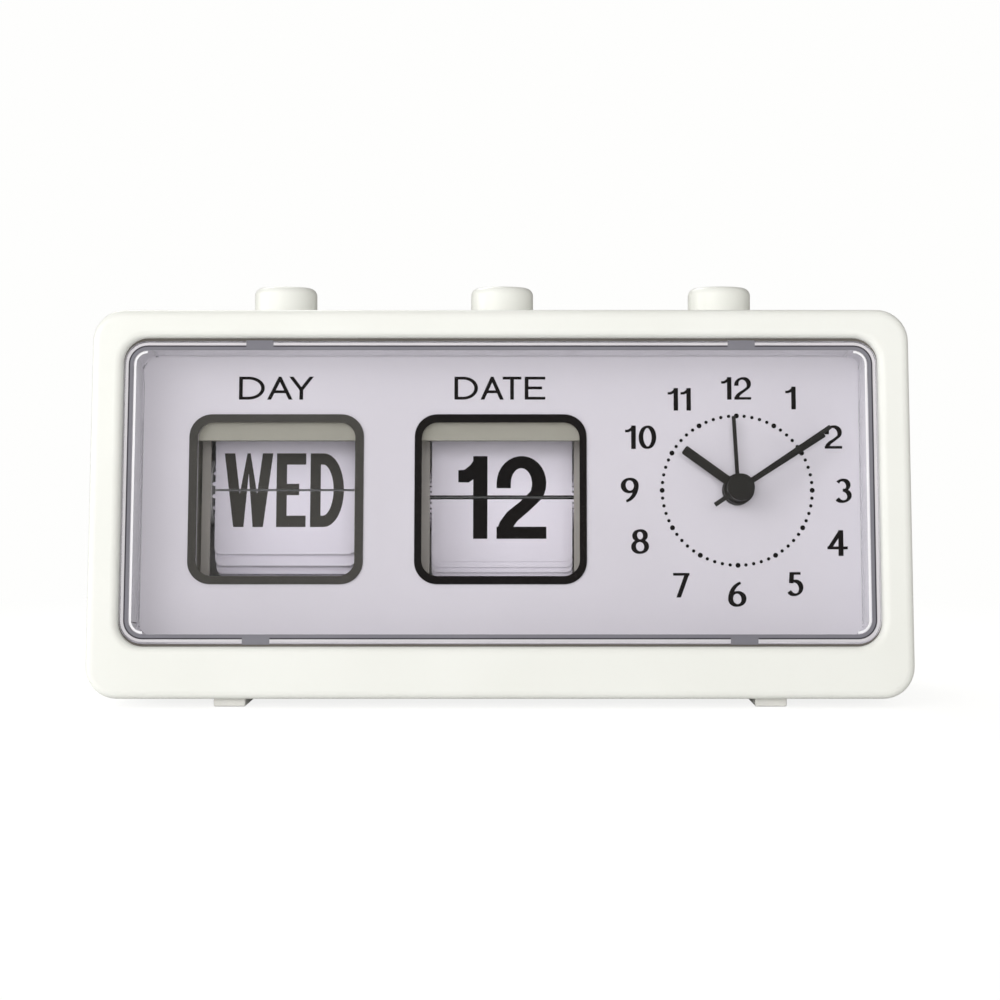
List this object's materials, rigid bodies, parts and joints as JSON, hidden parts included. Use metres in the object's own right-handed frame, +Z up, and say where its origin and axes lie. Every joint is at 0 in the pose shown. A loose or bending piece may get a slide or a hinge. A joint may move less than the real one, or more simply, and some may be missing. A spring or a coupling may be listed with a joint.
{
  "type": "flip clock",
  "caption": "Desk clock with flip-leaf day and date windows and an analogue alarm dial in a leaning white case, with push buttons on top and setting knobs at the back.",
  "frame": {"origin": "centre of the case's footprint, at the level the feet stand on", "axes": "+X to the right seen from the front, the front faces -Y, +Z up"},
  "size_m": [0.18, 0.064, 0.094],
  "materials": {
    "white_plastic": "satin gloss",
    "clear_plastic": "polished clear",
    "dial_paint": "satin paint",
    "grey_foot": "matte",
    "steel": "plated",
    "grey_plastic": "matte",
    "drum_plastic": "matte",
    "leaf_card": "matte",
    "spring_bronze": "bright",
    "black_plastic": "matte",
    "gear_brass": "bright",
    "board_green": "satin",
    "coil_copper": "lacquered",
    "hand_black": "satin",
    "battery_wrap": "gloss"
  },
  "bodies": {
    "case": {"front_case": "white_plastic", "rear_case": "white_plastic", "front_lens": "clear_plastic", "dial_plate": "dial_paint", "feet": "grey_foot", "case_screws": "steel", "flip_chassis": "grey_plastic", "chassis_screws": "steel", "day_axle": "steel", "day_detent_spring": "spring_bronze", "date_axle": "steel", "date_detent_spring": "spring_bronze", "day_button_spring": "steel", "date_button_spring": "steel", "snooze_button_spring": "steel", "snooze_switch": "black_plastic", "movement_front_shell": "black_plastic", "movement_rear_shell": "black_plastic", "movement_screws": "steel", "centre_nut": "hand_black", "circuit_board": "board_green", "drive_coil": "coil_copper", "buzzer": "spring_bronze", "battery": "battery_wrap", "battery_contacts": "steel"},
    "day_button": {"day_button": "white_plastic", "day_push_arm": "grey_plastic"},
    "day_drum": {"day_drum": "drum_plastic", "day_ratchet": "steel", "day_leaves": "leaf_card"},
    "day_leaf": {"day_flip_leaf": "leaf_card"},
    "date_button": {"date_button": "white_plastic", "date_push_arm": "grey_plastic"},
    "date_drum": {"date_drum": "drum_plastic", "date_ratchet": "steel", "date_leaves": "leaf_card"},
    "date_leaf": {"date_flip_leaf": "leaf_card"},
    "snooze_button": {"snooze_button": "white_plastic"},
    "minute_work": {"minute_arbor": "gear_brass", "minute_hand": "hand_black"},
    "motion_work": {"motion_wheel": "gear_brass"},
    "hour_work": {"hour_wheel": "gear_brass", "hour_hand": "hand_black"},
    "second_work": {"second_arbor": "steel", "second_hand": "hand_black"},
    "alarm_work": {"alarm_wheel": "gear_brass", "alarm_hand": "hand_black"},
    "time_set": {"time_set_shaft": "steel", "time_set_knob": "grey_plastic"},
    "alarm_set": {"alarm_set_shaft": "steel", "alarm_set_knob": "grey_plastic"},
    "alarm_switch": {"alarm_switch": "black_plastic"},
    "battery_door": {"battery_door": "white_plastic"}
  },
  "joints": [
    {"name": "day_button_press", "type": "slide", "parent": "case", "child": "day_button", "axis": [0, 0, -1], "range_m": [0, 0.0035], "stiffness_N_per_m": 400, "springref_m": -0.001, "deforming": ["day_button_spring"]},
    {"name": "day_drum_turn", "type": "hinge", "parent": "case", "child": "day_drum", "pos_m": [-0.0506, 0.00917, 0.04604], "axis": [1, 0, 0], "range_deg": [0, 25.71]},
    {"name": "day_leaf_fall", "type": "hinge", "parent": "day_drum", "child": "day_leaf", "pos_m": [-0.0506, 0.00301, 0.04814], "axis": [1, 0, 0], "range_deg": [0, 154.29]},
    {"name": "date_button_press", "type": "slide", "parent": "case", "child": "date_button", "axis": [0, 0, -1], "range_m": [0, 0.0035], "stiffness_N_per_m": 400, "springref_m": -0.001, "deforming": ["date_button_spring"]},
    {"name": "date_drum_turn", "type": "hinge", "parent": "case", "child": "date_drum", "pos_m": [0, 0.00912, 0.04433], "axis": [1, 0, 0], "range_deg": [0, 11.61]},
    {"name": "date_leaf_fall", "type": "hinge", "parent": "date_drum", "child": "date_leaf", "pos_m": [0, 0.00276, 0.04566], "axis": [1, 0, 0], "range_deg": [0, 168.39]},
    {"name": "snooze_button_press", "type": "slide", "parent": "case", "child": "snooze_button", "axis": [0, 0, -1], "range_m": [0, 0.0035], "stiffness_N_per_m": 400, "springref_m": -0.001, "deforming": ["snooze_button_spring"]},
    {"name": "minute_turn", "type": "hinge", "parent": "case", "child": "minute_work", "pos_m": [0.0532, -0.01321, 0.04688], "axis": [0, 0.9945, -0.1045], "continuous": true},
    {"name": "motion_turn", "type": "hinge", "parent": "case", "child": "motion_work", "pos_m": [0.0532, -0.01216, 0.05683], "axis": [0, 0.9945, -0.1045], "continuous": true},
    {"name": "hour_turn", "type": "hinge", "parent": "case", "child": "hour_work", "pos_m": [0.0532, -0.01321, 0.04688], "axis": [0, 0.9945, -0.1045], "continuous": true},
    {"name": "second_turn", "type": "hinge", "parent": "case", "child": "second_work", "pos_m": [0.0532, -0.01321, 0.04688], "axis": [0, 0.9945, -0.1045], "continuous": true},
    {"name": "time_set_turn", "type": "hinge", "parent": "case", "child": "time_set", "pos_m": [0.04454, 0.02317, 0.05814], "axis": [0, 0.9945, -0.1045], "continuous": true},
    {"name": "alarm_turn", "type": "hinge", "parent": "case", "child": "alarm_work", "pos_m": [0.0532, -0.01321, 0.04688], "axis": [0, 0.9945, -0.1045], "continuous": true},
    {"name": "alarm_set_turn", "type": "hinge", "parent": "case", "child": "alarm_set", "pos_m": [0.0626, 0.02196, 0.04662], "axis": [0, 0.9945, -0.1045], "continuous": true},
    {"name": "alarm_switch_slide", "type": "slide", "parent": "case", "child": "alarm_switch", "axis": [1, 0, 0], "range_m": [0, 0.004]},
    {"name": "battery_door_swing", "type": "hinge", "parent": "case", "child": "battery_door", "pos_m": [0.0532, 0.01849, 0.02123], "axis": [-1, 0, 0], "range_deg": [0, 95]}
  ],
  "couplings": [
    {"joint": "day_drum_turn", "follows": "day_button_press", "rad_per_m": 128.22},
    {"joint": "day_leaf_fall", "follows": "day_button_press", "rad_per_m": 769.29},
    {"joint": "date_drum_turn", "follows": "date_button_press", "rad_per_m": 57.904},
    {"joint": "date_leaf_fall", "follows": "date_button_press", "rad_per_m": 839.6},
    {"joint": "motion_turn", "follows": "minute_turn", "ratio": -0.33333},
    {"joint": "hour_turn", "follows": "minute_turn", "ratio": 0.083333},
    {"joint": "time_set_turn", "follows": "minute_turn", "ratio": 1},
    {"joint": "alarm_set_turn", "follows": "alarm_turn", "ratio": -2.3333}
  ]
}
